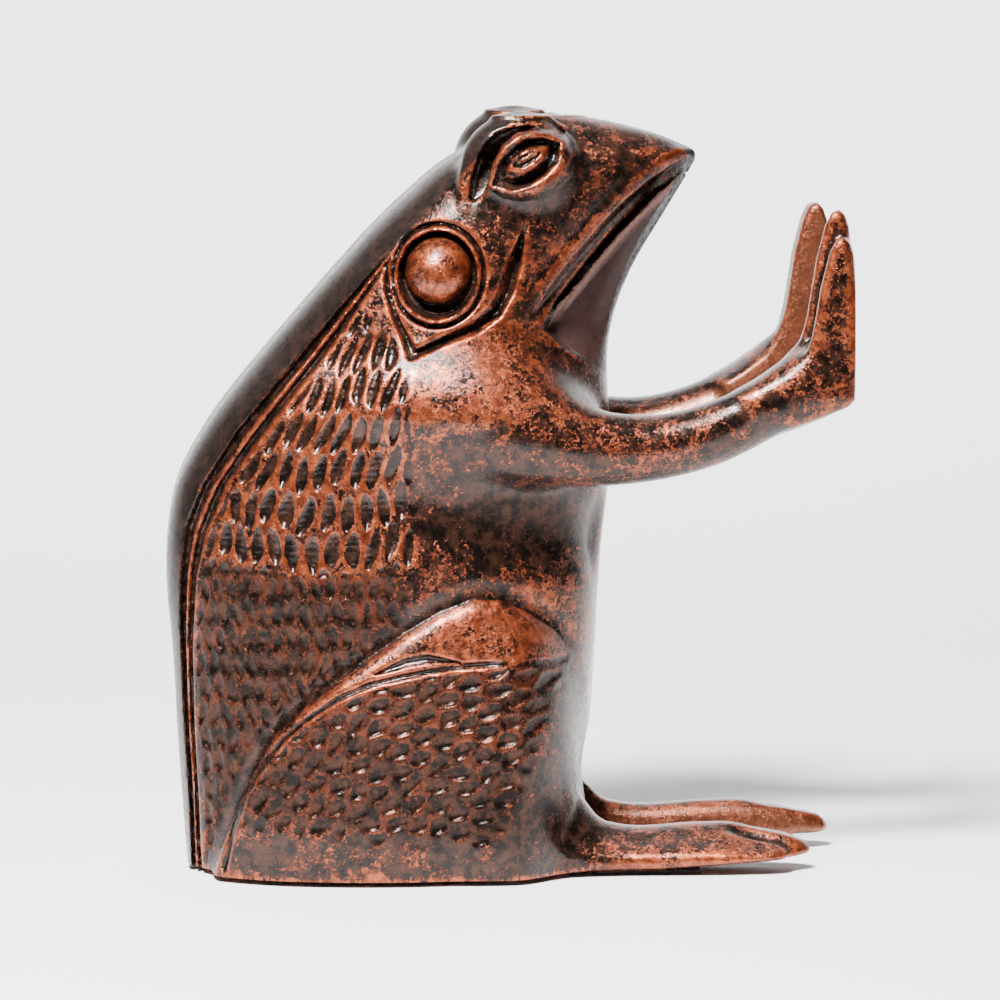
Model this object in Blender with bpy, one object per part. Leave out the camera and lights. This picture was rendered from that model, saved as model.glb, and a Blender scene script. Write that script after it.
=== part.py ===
"""Seated frog bookend, cast as two hollow iron halves that are pinned and screwed together.

Metres, +Z up. The frog faces +X and its right side is -Y. The origin lies under the
middle of the figure, on the surface that it stands on. Tables of stations are in
millimetres and are turned into metres where they are used.
"""

import math

import bmesh
import bpy
from mathutils import Matrix, Vector

MM = 0.001
RIGHT = -1
LEFT = 1

# Driving dimensions, metres
GAP = 0.0003                   # clearance between touching pieces
FELT_THICKNESS = 0.0008
SOLE = FELT_THICKNESS + GAP    # height of the castings' undersides
WALL = 0.006                   # horizontal wall thickness of the hollow halves
CAVITY_TOP = 0.137
PALM_X = 0.0676                # plane of the right palm
LEFT_HAND_SETBACK = 0.0022     # the left hand stands this far behind the right one
LEFT_FOOT_LEAD = 0.0058        # the left foot reaches this far past the right one
FORWARD = 0.0006               # moves the middle of the length over the origin
ARM_INSIDE = 0.0092            # flat inner face of each arm, from the joint plane
FELT_INSET = 0.0016
FOOT_FELT_INSET = 0.0030
FOOT_FELT_START = 0.0150
FOOT_FELT_END = 0.0430
FULL_WIDTH = 0.080             # larger than the figure, for the tools that split it

RING_POINTS = 40
LIMB_POINTS = 18
FOOT_POINTS = 14

# Body: height, back, front, widest point, half width, front taper (1 is an ellipse)
BODY_STATIONS = (
    (1.5, -64.3, 16.2, -25.0, 29.6, 0.70),
    (9.0, -64.9, 15.6, -25.0, 29.8, 0.70),
    (20.0, -65.9, 13.8, -25.0, 29.6, 0.70),
    (34.0, -67.1, 14.7, -24.0, 29.2, 0.72),
    (46.0, -67.9, 16.0, -23.0, 28.8, 0.75),
    (57.0, -68.8, 17.4, -22.0, 28.2, 0.82),
    (68.0, -68.0, 18.8, -20.0, 27.6, 0.90),
    (78.0, -65.2, 20.1, -18.0, 27.2, 1.00),
    (88.0, -59.4, 20.6, -15.0, 27.0, 1.05),
    (94.0, -54.7, 20.0, -13.5, 26.6, 1.10),
    (98.0, -51.7, 19.9, -12.5, 25.6, 1.15),
    (103.0, -48.0, 20.0, -11.5, 23.8, 1.20),
    (112.0, -39.6, 21.6, -9.0, 22.6, 1.35),
    (120.0, -32.5, 24.8, -8.0, 21.6, 1.50),
    (128.0, -26.1, 29.4, -5.0, 20.2, 1.60),
    (135.0, -19.7, 33.8, -1.0, 18.2, 1.60),
    (140.0, -14.2, 36.6, 2.0, 16.0, 1.60),
    (143.0, -9.6, 37.3, 4.0, 13.4, 1.60),
    (146.0, -4.6, 29.4, 5.0, 10.4, 1.50),
    (148.5, 0.4, 20.6, 7.0, 7.2, 1.30),
    (150.6, 6.2, 11.4, 8.6, 2.6, 1.00),
)

# Right arm, shoulder to fingertip: x, z, half depth, half width, distance from the joint plane
ARM_STATIONS = (
    (-16.8, 90.0, 12.6, 11.0, 17.6),
    (-6.9, 89.6, 12.6, 11.2, 18.4),
    (3.0, 87.6, 11.0, 10.0, 19.2),
    (11.0, 85.6, 8.8, 8.6, 19.4),
    (19.0, 84.6, 7.3, 7.4, 19.0),
    (29.2, 85.0, 6.5, 6.9, 18.0),
    (39.3, 87.4, 6.2, 6.7, 17.0),
    (49.5, 92.0, 5.9, 6.7, 16.0),
    (58.4, 96.8, 7.2, 7.0, 15.4),
    (62.4, 103.0, 6.2, 6.8, 15.2),
    (63.3, 111.0, 5.2, 6.2, 14.9),
    (63.6, 121.0, 4.1, 5.2, 14.0),
    (63.9, 128.5, 2.2, 3.4, 12.8),
    (64.2, 131.4, 0.8, 1.2, 12.2),
)
ARM_REACH_START = 12.0         # an arm's setback grows from here to the wrist
ARM_REACH_END = 60.0

# Right foot, heel to toe: x, distance from the joint plane, half width, height above the sole
FOOT_STATIONS = (
    (-1.0, 15.2, 7.8, 20.0),
    (11.5, 14.8, 7.4, 12.5),
    (16.5, 14.4, 7.2, 8.6),
    (25.6, 14.2, 7.0, 7.4),
    (37.5, 14.4, 7.4, 7.5),
    (45.4, 14.6, 7.6, 7.0),
    (51.4, 14.6, 6.8, 5.8),
    (56.2, 14.2, 4.6, 4.6),
    (58.8, 13.6, 1.8, 2.9),
)

# Leg, head and ear forms: centre, half sizes and tilt about Y in degrees
THIGH = ((-22.6, 16.4, 18.0), (46.0, 16.4, 26.0), -42.0)
SHIN = ((-0.4, 15.2, 20.0), (13.0, 13.0, 34.0), 0.0)
EYE_MOUND = ((1.2, 12.6, 141.4), (11.0, 8.4, 10.6), 0.0)
EAR_DOME = ((-15.6, 19.6, 120.3), (6.8, 5.0, 6.8), 0.0)
EAR_RING_RADIUS = 0.0088
EAR_RING_THICKNESS = 0.0011
EAR_RING_OUT = 0.0206

# Fasteners: name, x and z of the axis
TIE_SCREWS = (("upper_tie_screw", -0.020, 0.094), ("lower_tie_screw", -0.030, 0.034))
SCREW_HEAD_RADIUS = 0.0042
SCREW_HEAD_HEIGHT = 0.0030
SCREW_SHANK_RADIUS = 0.00225
SCREW_SEAT = 0.0165            # height of the seat above the joint plane
SCREW_DEPTH = 0.0130           # reach of the thread into the right half
SLOT_WIDTH = 0.0012
SLOT_DEPTH = 0.0013
BOSS_RADIUS = 0.0075
BOSS_LENGTH = 0.0250

LOCATING_PINS = (("upper_locating_pin", 0.0140, 0.1200), ("lower_locating_pin", -0.0600, 0.0500))
PIN_RADIUS = 0.0020
PIN_LENGTH = 0.0100
PIN_BOSS_RADIUS = 0.0060
PIN_BOSS_LENGTH = 0.0072


def clear_scene():
    for scene_object in list(bpy.data.objects):
        bpy.data.objects.remove(scene_object, do_unlink=True)


def make_collection(name):
    collection = bpy.data.collections.new(name)
    bpy.context.scene.collection.children.link(collection)
    return collection


def make_material(name, colour, roughness, metallic):
    material = bpy.data.materials.new(name)
    material.use_nodes = True
    shader = material.node_tree.nodes["Principled BSDF"]
    shader.inputs["Base Color"].default_value = (*colour, 1.0)
    shader.inputs["Roughness"].default_value = roughness
    shader.inputs["Metallic"].default_value = metallic
    return material


def object_from(build, name, collection, material=None):
    """An object from a bmesh, moved to its place in the frame, smooth but for its sharp edges."""
    bmesh.ops.translate(build, vec=Vector((FORWARD, 0.0, 0.0)), verts=build.verts)
    bmesh.ops.recalc_face_normals(build, faces=build.faces)
    mesh = bpy.data.meshes.new(name)
    build.to_mesh(mesh)
    build.free()
    mesh.shade_smooth()
    mesh.set_sharp_from_angle(angle=math.radians(40.0))
    made = bpy.data.objects.new(name, mesh)
    collection.objects.link(made)
    if material:
        mesh.materials.append(material)
    return made


def make_cutter(build, name, collection):
    cutter = object_from(build, name, collection)
    cutter.hide_render = True
    cutter.display_type = "WIRE"
    return cutter


def loft(rings):
    """A closed body through rings that hold the same number of points."""
    build = bmesh.new()
    rows = [[build.verts.new(point) for point in ring] for ring in rings]
    count = len(rings[0])
    for lower, upper in zip(rows, rows[1:]):
        for index in range(count):
            following = (index + 1) % count
            build.faces.new((lower[index], lower[following], upper[following], upper[index]))
    build.faces.new(rows[0])
    build.faces.new(rows[-1])
    return build


def body_ring(station, height, inset):
    """A level section of the body: round behind, and narrowing to the front."""
    _, back, front, widest, half_width, taper = station
    back = back * MM + inset
    front = front * MM - inset
    widest = widest * MM
    half_width = half_width * MM - inset
    ring = []
    for index in range(RING_POINTS):
        angle = 2.0 * math.pi * index / RING_POINTS
        along = math.cos(angle)
        reach = front - widest if along > 0.0 else widest - back
        power = taper if along > 0.0 else 0.92
        across = math.copysign(abs(math.sin(angle)) ** power, math.sin(angle))
        ring.append(Vector((widest + reach * along, half_width * across, height)))
    return ring


def body_form():
    """The body, run down past the sole, where the split trims it flat."""
    below = body_ring(BODY_STATIONS[0], -SOLE, 0.0)
    return loft([below] + [body_ring(row, row[0] * MM, 0.0) for row in BODY_STATIONS])


def cavity_form():
    """The hollow of the figure, open at the underside."""
    below = body_ring(BODY_STATIONS[0], -2.0 * SOLE, WALL)
    inside = [row for row in BODY_STATIONS if row[0] * MM < CAVITY_TOP]
    return loft([below] + [body_ring(row, row[0] * MM, WALL) for row in inside])


def ellipsoid(form, side):
    """A rounded form on one side of the figure."""
    centre, half_sizes, tilt = form
    x, out, z = centre
    build = bmesh.new()
    bmesh.ops.create_uvsphere(build, u_segments=24, v_segments=14, radius=1.0)
    placed = (
        Matrix.Translation(Vector((x, side * out, z)) * MM)
        @ Matrix.Rotation(math.radians(tilt), 4, "Y")
        @ Matrix.Diagonal((*(size * MM for size in half_sizes), 1.0))
    )
    bmesh.ops.transform(build, matrix=placed, verts=build.verts)
    return build


def arm_form(side):
    """An arm bent up at the wrist, each section square to its run."""
    setback = LEFT_HAND_SETBACK if side == LEFT else 0.0
    centres = []
    for x, z, _, _, out in ARM_STATIONS:
        share = (x - ARM_REACH_START) / (ARM_REACH_END - ARM_REACH_START)
        share = min(max(share, 0.0), 1.0)
        centres.append(Vector((x * MM - setback * share, side * out * MM, z * MM)))
    rings = []
    last = len(centres) - 1
    for index, (centre, station) in enumerate(zip(centres, ARM_STATIONS)):
        run = centres[min(index + 1, last)] - centres[max(index - 1, 0)]
        run = Vector((run.x, 0.0, run.z)).normalized()
        across = Vector((-run.z, 0.0, run.x)) * station[2] * MM
        sideways = Vector((0.0, 1.0, 0.0)) * station[3] * MM
        ring = []
        for step in range(LIMB_POINTS):
            angle = 2.0 * math.pi * step / LIMB_POINTS
            ring.append(centre + across * math.cos(angle) + sideways * math.sin(angle))
        rings.append(ring)
    return loft(rings)


def foot_outline(side):
    """Foot stations in metres, the left foot drawn out to its own length."""
    lead = LEFT_FOOT_LEAD if side == LEFT else 0.0
    first = FOOT_STATIONS[0][0]
    length = FOOT_STATIONS[-1][0] - first
    for x, out, half_width, height in FOOT_STATIONS:
        share = (x - first) / length
        yield x * MM + lead * share, side * out * MM, half_width * MM, height * MM


def foot_form(side):
    """A foot with a rounded back, run down past the sole as the body is."""
    rings = []
    for x, middle, half_width, height in foot_outline(side):
        ring = [Vector((x, middle + half_width, -SOLE))]
        for step in range(FOOT_POINTS + 1):
            angle = math.pi * step / FOOT_POINTS
            y = middle + half_width * math.cos(angle)
            ring.append(Vector((x, y, SOLE + height * math.sin(angle))))
        ring.append(Vector((x, middle - half_width, -SOLE)))
        rings.append(ring)
    return loft(rings)


def ear_ring_form(side):
    """The raised ring around an ear, swept round the ear's axis."""
    x, _, z = EAR_DOME[0]
    build = bmesh.new()
    rows = []
    for turn in range(32):
        angle = 2.0 * math.pi * turn / 32
        spoke = Vector((math.cos(angle), 0.0, math.sin(angle)))
        row = []
        for step in range(8):
            round_angle = 2.0 * math.pi * step / 8
            radius = EAR_RING_RADIUS + EAR_RING_THICKNESS * math.cos(round_angle)
            out = EAR_RING_OUT + EAR_RING_THICKNESS * math.sin(round_angle)
            centre = Vector((x * MM, side * out, z * MM))
            row.append(build.verts.new(centre + spoke * radius))
        rows.append(row)
    for turn, row in enumerate(rows):
        next_row = rows[(turn + 1) % len(rows)]
        for step in range(8):
            other = (step + 1) % 8
            build.faces.new((row[step], row[other], next_row[other], next_row[step]))
    return build


def box_form(low, high):
    build = bmesh.new()
    bmesh.ops.create_cube(build, size=1.0)
    low = Vector(low)
    high = Vector(high)
    placed = Matrix.Translation((low + high) / 2.0) @ Matrix.Diagonal((*(high - low), 1.0))
    bmesh.ops.transform(build, matrix=placed, verts=build.verts)
    return build


def rod_form(x, z, start, end, radius, segments=28):
    """A round rod along Y."""
    build = bmesh.new()
    bmesh.ops.create_cone(
        build,
        cap_ends=True,
        segments=segments,
        radius1=radius,
        radius2=radius,
        depth=abs(end - start),
    )
    placed = Matrix.Translation((x, (start + end) / 2.0, z)) @ Matrix.Rotation(
        math.pi / 2.0, 4, "X"
    )
    bmesh.ops.transform(build, matrix=placed, verts=build.verts)
    return build


def combine(target, other, operation):
    modifier = target.modifiers.new(f"{operation.lower()} {other.name}", "BOOLEAN")
    modifier.operation = operation
    modifier.solver = "EXACT"
    modifier.object = other


def make_half(name, side, parts, tools, material):
    """One hollow casting: half of the figure, with bosses for the screws and pins."""
    half = object_from(body_form(), name, parts, material)
    arm = make_cutter(arm_form(side), f"{name} arm", tools)
    inner_plane = sorted((0.0, side * ARM_INSIDE))
    arm_trim = make_cutter(
        box_form((0.0200, inner_plane[0], 0.07), (0.09, inner_plane[1], 0.14)),
        f"{name} arm inside",
        tools,
    )
    combine(arm, arm_trim, "DIFFERENCE")
    setback = LEFT_HAND_SETBACK if side == LEFT else 0.0
    palm_x = PALM_X - setback
    palm_trim = make_cutter(
        box_form((palm_x, -FULL_WIDTH, 0.07), (0.09, FULL_WIDTH, 0.14)),
        f"{name} palm",
        tools,
    )
    combine(arm, palm_trim, "DIFFERENCE")

    combine(half, arm, "UNION")
    forms = {
        "thigh": ellipsoid(THIGH, side),
        "shin": ellipsoid(SHIN, side),
        "foot": foot_form(side),
        "eye mound": ellipsoid(EYE_MOUND, side),
        "ear dome": ellipsoid(EAR_DOME, side),
        "ear ring": ear_ring_form(side),
    }
    for label, build in forms.items():
        combine(half, make_cutter(build, f"{name} {label}", tools), "UNION")

    cavity = make_cutter(cavity_form(), f"{name} cavity", tools)
    combine(half, cavity, "DIFFERENCE")
    for label, x, z in TIE_SCREWS:
        boss = rod_form(x, z, -side * GAP, side * BOSS_LENGTH, BOSS_RADIUS)
        combine(half, make_cutter(boss, f"{name} {label} boss", tools), "UNION")
    for label, x, z in LOCATING_PINS:
        boss = rod_form(x, z, -side * GAP, side * PIN_BOSS_LENGTH, PIN_BOSS_RADIUS)
        combine(half, make_cutter(boss, f"{name} {label} boss", tools), "UNION")

    split = sorted((side * GAP / 2.0, side * FULL_WIDTH))
    keep = box_form((-0.1, split[0], SOLE), (0.1, split[1], 0.2))
    combine(half, make_cutter(keep, f"{name} side of the joint", tools), "INTERSECT")
    drill_half(half, name, side, tools)
    return half


def drill_half(half, name, side, tools):
    """Screw and pin holes, each wider than its fastener by the clearance."""
    hole = SCREW_SHANK_RADIUS + GAP
    for label, x, z in TIE_SCREWS:
        if side == LEFT:
            through = rod_form(x, z, -2.0 * GAP, SCREW_SEAT + 2.0 * GAP, hole)
            sunk = rod_form(x, z, SCREW_SEAT, FULL_WIDTH, SCREW_HEAD_RADIUS + GAP)
            combine(half, make_cutter(through, f"{name} {label} hole", tools), "DIFFERENCE")
            combine(half, make_cutter(sunk, f"{name} {label} recess", tools), "DIFFERENCE")
        else:
            blind = rod_form(x, z, 2.0 * GAP, -SCREW_DEPTH - GAP, hole)
            combine(half, make_cutter(blind, f"{name} {label} hole", tools), "DIFFERENCE")
    for label, x, z in LOCATING_PINS:
        depth = PIN_LENGTH / 2.0 + GAP
        blind = rod_form(x, z, -side * 2.0 * GAP, side * depth, PIN_RADIUS + GAP)
        combine(half, make_cutter(blind, f"{name} {label} hole", tools), "DIFFERENCE")


def make_tie_screw(name, x, z, parts, tools, material):
    """A slotted cheese-head screw, its head on the left side."""
    seat = SCREW_SEAT + GAP
    shank = rod_form(x, z, -SCREW_DEPTH, seat + SCREW_HEAD_HEIGHT / 2.0, SCREW_SHANK_RADIUS)
    screw = object_from(shank, name, parts, material)
    head = rod_form(x, z, seat, seat + SCREW_HEAD_HEIGHT, SCREW_HEAD_RADIUS)
    combine(screw, make_cutter(head, f"{name} head", tools), "UNION")
    top = seat + SCREW_HEAD_HEIGHT
    slot = box_form(
        (x - SCREW_HEAD_RADIUS * 1.2, top - SLOT_DEPTH, z - SLOT_WIDTH / 2.0),
        (x + SCREW_HEAD_RADIUS * 1.2, top + SLOT_DEPTH, z + SLOT_WIDTH / 2.0),
    )
    combine(screw, make_cutter(slot, f"{name} slot", tools), "DIFFERENCE")


def make_locating_pin(name, x, z, parts, material):
    pin = rod_form(x, z, -PIN_LENGTH / 2.0, PIN_LENGTH / 2.0, PIN_RADIUS)
    object_from(pin, name, parts, material)


def make_pad(name, outline, parts, material):
    """A felt pad cut to an outline, lying on the floor."""
    low = [Vector((x, y, 0.0)) for x, y in outline]
    high = [Vector((x, y, FELT_THICKNESS)) for x, y in outline]
    object_from(loft([low, high]), name, parts, material)


def body_pad_outline():
    """The underside of the body, short of the foot pads."""
    ring = body_ring(BODY_STATIONS[0], 0.0, FELT_INSET)
    return [(point.x, point.y) for point in ring]


def foot_pad_outline(side):
    """The sole of a foot, from in front of the body pad to the ball of the foot."""
    stations = [row for row in foot_outline(side) if FOOT_FELT_START < row[0] < FOOT_FELT_END]
    widths = [(x, middle, half_width - FOOT_FELT_INSET) for x, middle, half_width, _ in stations]
    outer = [(x, middle + half_width) for x, middle, half_width in widths]
    inner = [(x, middle - half_width) for x, middle, half_width in reversed(widths)]
    return outer + inner


def main():
    clear_scene()
    parts = make_collection("frog_bookend")
    tools = make_collection("cutters")
    iron_right = make_material("right half iron", (0.085, 0.030, 0.018), 0.34, 0.55)
    iron_left = make_material("left half iron", (0.080, 0.029, 0.018), 0.34, 0.55)
    steel = make_material("screw steel", (0.42, 0.41, 0.40), 0.35, 1.0)
    pin_steel = make_material("pin steel", (0.50, 0.49, 0.48), 0.28, 1.0)
    felt = make_material("black felt", (0.018, 0.018, 0.020), 0.95, 0.0)

    make_half("right_half_casting", RIGHT, parts, tools, iron_right)
    make_half("left_half_casting", LEFT, parts, tools, iron_left)
    for name, x, z in TIE_SCREWS:
        make_tie_screw(name, x, z, parts, tools, steel)
    for name, x, z in LOCATING_PINS:
        make_locating_pin(name, x, z, parts, pin_steel)
    make_pad("body_felt_pad", body_pad_outline(), parts, felt)
    make_pad("right_foot_felt_pad", foot_pad_outline(RIGHT), parts, felt)
    make_pad("left_foot_felt_pad", foot_pad_outline(LEFT), parts, felt)


main()
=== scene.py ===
"""Looks for the frog bookend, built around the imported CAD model.

The two castings are sculpted as distance fields in millimetres, in a space of
x (forward), out (away from the joint plane) and z (up). The fields carry the
scales and grooves. Each is meshed, moved exactly onto its surface, and placed
on its own side of the joint plane. The felt pads are rebuilt from the CAD's,
and the screws and pins stay and get finishes of their own.
"""

import math

import bmesh
import bpy
import numpy as np
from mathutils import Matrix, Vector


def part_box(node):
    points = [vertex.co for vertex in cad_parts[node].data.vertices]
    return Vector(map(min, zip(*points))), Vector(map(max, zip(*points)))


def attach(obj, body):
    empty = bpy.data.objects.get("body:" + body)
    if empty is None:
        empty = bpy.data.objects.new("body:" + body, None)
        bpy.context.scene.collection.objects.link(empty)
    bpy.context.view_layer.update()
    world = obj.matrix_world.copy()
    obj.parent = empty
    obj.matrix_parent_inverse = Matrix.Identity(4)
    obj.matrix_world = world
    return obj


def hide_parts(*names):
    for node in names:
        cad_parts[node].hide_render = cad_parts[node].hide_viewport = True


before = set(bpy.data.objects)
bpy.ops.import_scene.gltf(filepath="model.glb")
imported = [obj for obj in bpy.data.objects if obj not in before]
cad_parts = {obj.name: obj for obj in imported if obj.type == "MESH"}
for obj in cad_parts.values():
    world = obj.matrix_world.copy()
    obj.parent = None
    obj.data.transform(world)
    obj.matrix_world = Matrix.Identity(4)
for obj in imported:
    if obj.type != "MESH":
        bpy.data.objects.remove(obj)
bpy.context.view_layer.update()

import openvdb
from mathutils import Vector

MM = 0.001
RIGHT = -1
LEFT = 1
SIDES = {RIGHT: "right", LEFT: "left"}

# Sculpting grid, millimetres
STEP = 0.45
BAND = 4.0                     # distances are kept to this much either side of the surface

# Limits shared with the castings, millimetres
SOLE = 1.1
JOINT = 0.02
PALM_X = 67.6
HAND_SETBACK = {RIGHT: 0.0, LEFT: 2.2}
FOOT_LEAD = {RIGHT: 0.0, LEFT: 5.8}
FOOT_HEIGHT = {RIGHT: 0.0, LEFT: 0.8}
FORWARD = 0.6                  # moves the middle of the length over the origin
SWEEP = 0.157                  # the sides lie this far back for each millimetre out
RISE = 0.038                   # and this far up
ARM_INSIDE = 9.2
WALL = 6.0
CAVITY_TOP = 136.0
HEAD_TOP = 150.95

# Profile of the figure in the joint plane: height, x
BACK = (
    (0.0, -64.2), (3.7, -64.5), (23.0, -65.9), (45.8, -67.2), (57.0, -68.2), (68.3, -67.9),
    (78.1, -65.9), (87.8, -60.8), (103.2, -49.1), (112.0, -41.5), (120.0, -34.5), (128.2, -27.3),
    (135.2, -20.0), (140.9, -13.3), (144.1, -8.2), (147.5, -1.6), (149.7, 3.2), (150.9, 7.6),
)
FRONT = (
    (0.0, 16.4), (9.0, 15.9), (19.2, 14.8), (29.3, 16.4), (40.8, 17.2), (54.7, 18.0),
    (64.8, 18.7), (74.3, 19.8), (88.0, 20.6), (95.8, 19.9), (106.6, 20.2), (113.0, 21.8),
    (120.6, 25.0), (131.4, 31.4), (135.7, 34.0), (139.5, 36.2), (142.2, 37.4), (143.4, 37.0),
    (144.7, 34.4), (147.6, 26.6), (149.3, 19.6), (150.4, 13.4), (150.9, 9.4),
)
# Height, half width, x of the widest point, sharpness of the front (1 is an ellipse)
BREADTH = (
    (0.0, 27.6, -25.0, 0.66), (20.0, 27.9, -25.0, 0.66), (34.0, 27.9, -24.0, 0.66),
    (46.0, 27.7, -23.0, 0.7), (57.0, 27.8, -22.0, 0.78), (68.0, 27.4, -20.0, 0.9),
    (78.0, 27.2, -18.0, 1.0), (88.0, 27.0, -15.0, 1.05), (94.0, 26.6, -13.0, 1.1),
    (98.0, 25.6, -12.0, 1.15), (103.0, 23.8, -11.0, 1.2), (112.0, 22.6, -9.0, 1.35),
    (120.0, 21.6, -8.0, 1.5), (128.0, 20.2, -5.0, 1.6), (135.0, 18.2, -1.0, 1.6),
    (140.0, 16.0, 2.0, 1.6), (143.0, 13.4, 4.0, 1.6), (146.0, 10.4, 5.0, 1.5),
    (148.5, 7.2, 7.0, 1.3), (150.0, 4.4, 8.0, 1.1), (150.9, 1.4, 8.6, 1.0),
)
BACK_SHARPNESS = 0.92
# Arm: x, z, half depth, half width, distance from the joint plane
ARM = (
    (-14.0, 90.0, 12.6, 11.0, 17.6), (-4.0, 89.6, 12.6, 11.2, 18.4), (6.0, 87.6, 11.0, 10.0, 19.2),
    (14.0, 85.6, 8.8, 8.6, 19.4), (22.0, 84.6, 7.3, 7.4, 19.0), (32.0, 85.0, 6.5, 6.9, 18.0),
    (42.0, 87.4, 6.2, 6.7, 17.0), (52.0, 92.0, 5.9, 6.7, 16.0), (60.5, 97.0, 6.4, 6.9, 15.4),
)
# Hand, seen from the side
HAND = (
    (50.0, 91.0), (57.2, 89.4), (62.5, 90.9), (68.0, 93.0), (69.5, 94.6), (70.2, 106.0),
    (70.0, 114.0), (69.6, 121.0), (68.9, 128.2), (68.1, 130.6), (66.9, 131.7), (65.4, 131.1),
    (64.1, 128.4), (62.4, 121.6), (60.7, 110.8), (59.4, 105.6), (56.5, 100.6), (52.0, 97.4), (48.0, 95.0),
)
# Foot, seen from above: x, distance from the joint plane
FOOT = (
    (-6.0, 7.6), (14.0, 7.3), (22.0, 7.0), (32.0, 7.0), (42.0, 7.3), (51.0, 8.0), (57.5, 9.4),
    (61.4, 11.4), (62.6, 13.6), (61.8, 15.6), (59.6, 17.2), (58.2, 18.2), (58.2, 19.6),
    (56.8, 21.0), (53.0, 21.9), (46.0, 22.2), (36.0, 21.8), (26.0, 21.4), (14.0, 22.4), (-6.0, 24.0),
)
FOOT_TOP = (
    (10.0, 18.0), (14.5, 15.0), (17.0, 12.6), (18.6, 10.6), (20.2, 9.4), (22.4, 8.8), (39.2, 8.9),
    (45.4, 8.9), (51.1, 8.0), (55.9, 7.3), (60.1, 6.2), (61.6, 5.6), (64.0, 4.8),
)
# Lines on the side of the figure: x, z
MOUTH = (
    (38.2, 142.1), (37.2, 141.5), (33.4, 139.4), (29.5, 136.3), (25.2, 132.3), (20.4, 127.2),
    (15.9, 121.8), (11.3, 115.9), (8.3, 111.6), (7.0, 109.8),
)
THROAT = (
    (38.6, 141.6), (33.4, 138.0), (29.5, 134.8), (25.2, 130.6), (20.4, 125.6), (15.9, 120.0),
    (11.8, 114.6), (9.4, 110.6), (8.6, 108.6), (12.0, 104.9), (15.8, 102.2), (19.0, 99.4),
    (22.0, 95.0), (40.0, 95.0), (60.0, 141.6),
)
THIGH = (
    (-62.0, -12.0), (-57.6, 0.0), (-55.9, 4.4), (-51.5, 14.0), (-47.7, 21.6), (-43.3, 29.0),
    (-36.9, 34.9), (-30.5, 39.9), (-24.2, 44.2), (-17.6, 48.8), (-11.0, 52.8), (-4.0, 55.5),
    (1.0, 55.2), (6.0, 52.6), (11.0, 48.6), (14.4, 44.0), (18.0, 37.0), (60.0, 30.0), (60.0, -12.0),
)
THIGH_LINE = (
    (3.0, 43.0), (-4.0, 42.8), (-11.0, 41.9), (-17.7, 40.7), (-24.1, 39.1), (-30.4, 36.4),
    (-36.8, 32.2), (-41.2, 28.4), (-45.5, 23.4), (-49.5, 16.8), (-52.2, 9.2), (-54.0, 2.0),
)
CRESCENT = ((-23.0, 41.2), (-16.6, 43.6), (-12.7, 44.2), (-6.4, 43.4))
CHEST = ((-17.0, 74.0), (0.0, 70.0), (22.0, 66.0))
TEAR = (
    (5.4, 128.8), (4.7, 127.0), (3.2, 121.4), (1.6, 116.0), (-0.5, 112.0), (-4.4, 109.0),
    (-10.8, 106.3), (-16.4, 103.7), (-18.0, 107.2), (-20.3, 111.6), (-21.8, 116.2),
    (-22.2, 120.6), (-21.4, 124.4),
)
RIDGE_OUTER = (
    (-18.0, 128.0), (-23.4, 122.3), (-32.4, 112.4), (-42.5, 100.4), (-52.5, 88.4), (-59.6, 77.4),
    (-62.9, 69.3), (-64.0, 59.3), (-64.3, 49.3), (-63.8, 33.2), (-62.8, 17.2), (-62.4, -6.0),
)
RIDGE_INNER = (
    (-17.0, 127.6), (-21.8, 121.4), (-27.4, 112.6), (-35.6, 101.0), (-45.4, 88.4), (-53.4, 77.6),
    (-57.8, 67.8), (-59.8, 59.8), (-61.0, 45.8), (-60.8, 29.8), (-60.0, 13.8), (-59.6, -6.0),
)
BROW = (
    (-6.8, 132.4), (-6.5, 138.0), (-5.0, 142.2), (-2.8, 145.5), (-0.3, 147.7), (2.2, 149.2),
    (4.8, 149.7), (8.6, 149.2), (12.6, 148.0),
)
SOCKET = (
    (-6.0, 134.0), (-5.6, 138.0), (-4.4, 142.0), (-2.7, 145.0), (-0.5, 147.0), (2.2, 148.1),
    (5.8, 148.5), (9.2, 148.1), (12.4, 146.6), (8.0, 147.9), (3.7, 147.0), (1.0, 144.8),
    (-0.6, 141.4), (-1.7, 137.3), (-3.0, 135.0), (-4.8, 133.6),
)
EYE = (
    (-1.7, 137.1), (-0.6, 141.2), (1.2, 144.6), (3.7, 146.8), (6.8, 147.7), (10.2, 147.2),
    (13.2, 145.4), (14.7, 142.8), (13.4, 138.9), (11.0, 136.4), (7.8, 134.8), (4.2, 134.3),
    (1.1, 135.0), (-0.9, 136.3),
)
LID = (
    (-0.6, 137.2), (0.5, 140.8), (2.7, 143.8), (5.4, 145.5), (8.6, 145.8), (11.6, 144.8),
    (11.0, 141.6), (8.8, 139.1), (6.0, 137.3), (3.1, 136.4),
)
PUPIL = (
    (2.2, 139.9), (2.9, 142.0), (4.6, 143.5), (6.8, 144.2), (9.4, 144.3), (8.9, 142.4),
    (7.2, 140.6), (5.0, 139.5),
)
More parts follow.
